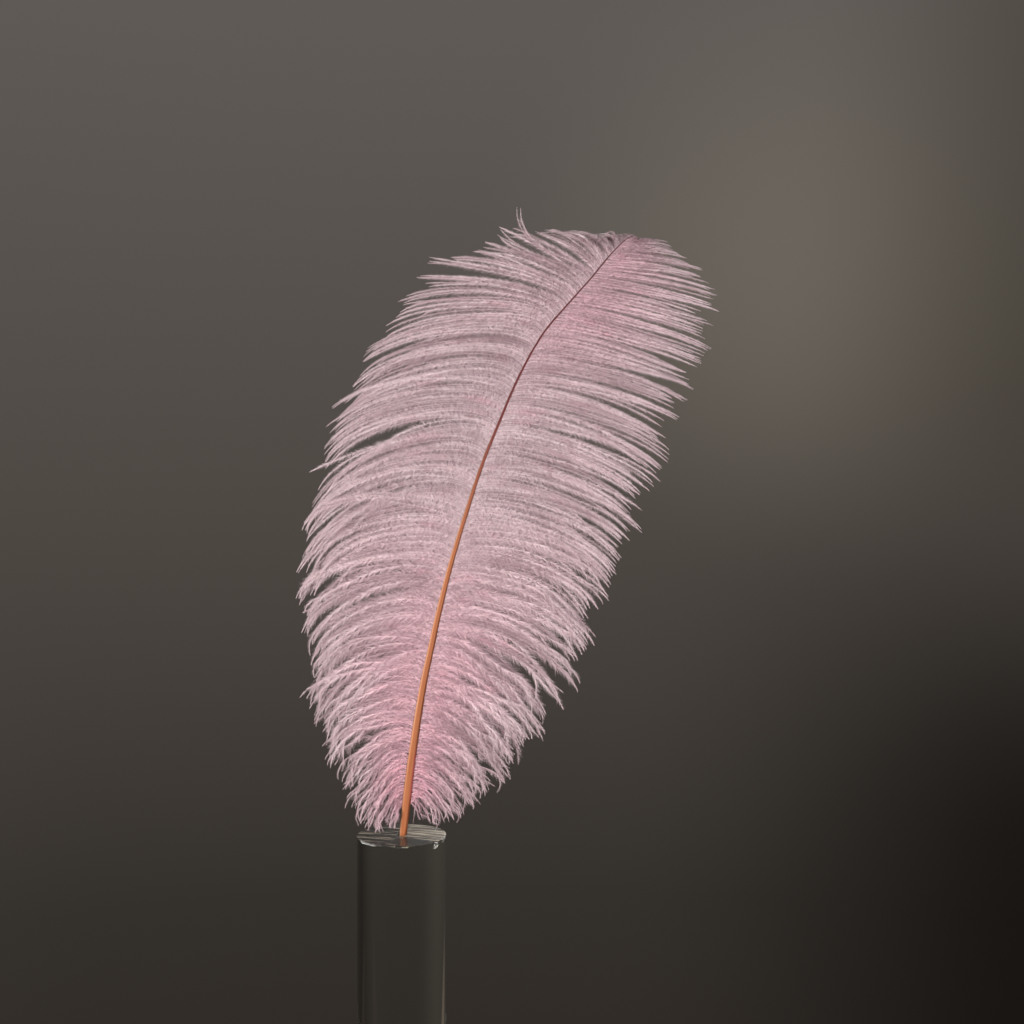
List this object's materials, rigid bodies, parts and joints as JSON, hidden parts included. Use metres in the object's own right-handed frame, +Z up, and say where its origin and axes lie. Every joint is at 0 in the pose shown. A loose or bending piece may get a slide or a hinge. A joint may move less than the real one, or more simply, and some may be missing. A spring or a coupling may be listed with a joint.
{
  "type": "ostrich feather in a solid glass cylinder vase",
  "caption": "Upright ostrich plume with a curled-over tip, its quill set in the shallow stem well of a tall solid glass cylinder.",
  "frame": {"origin": "centre of the vase's flat base", "axes": "+Z up along the vase, -Y the side the plume's broad face looks to, +X the side its tip leans to"},
  "size_m": [0.2398, 0.1331, 0.5522],
  "materials": {
    "glass": "clear, polished wall, sawn top",
    "horn": "satin horn, orange at the quill and dark red-brown near the tip",
    "down": "soft pale pink barbs with paler tips"
  },
  "bodies": {
    "root": {"glass_vase": "glass", "quill_shaft": "horn", "left_vane": "down", "right_vane": "down"}
  },
  "joints": []
}
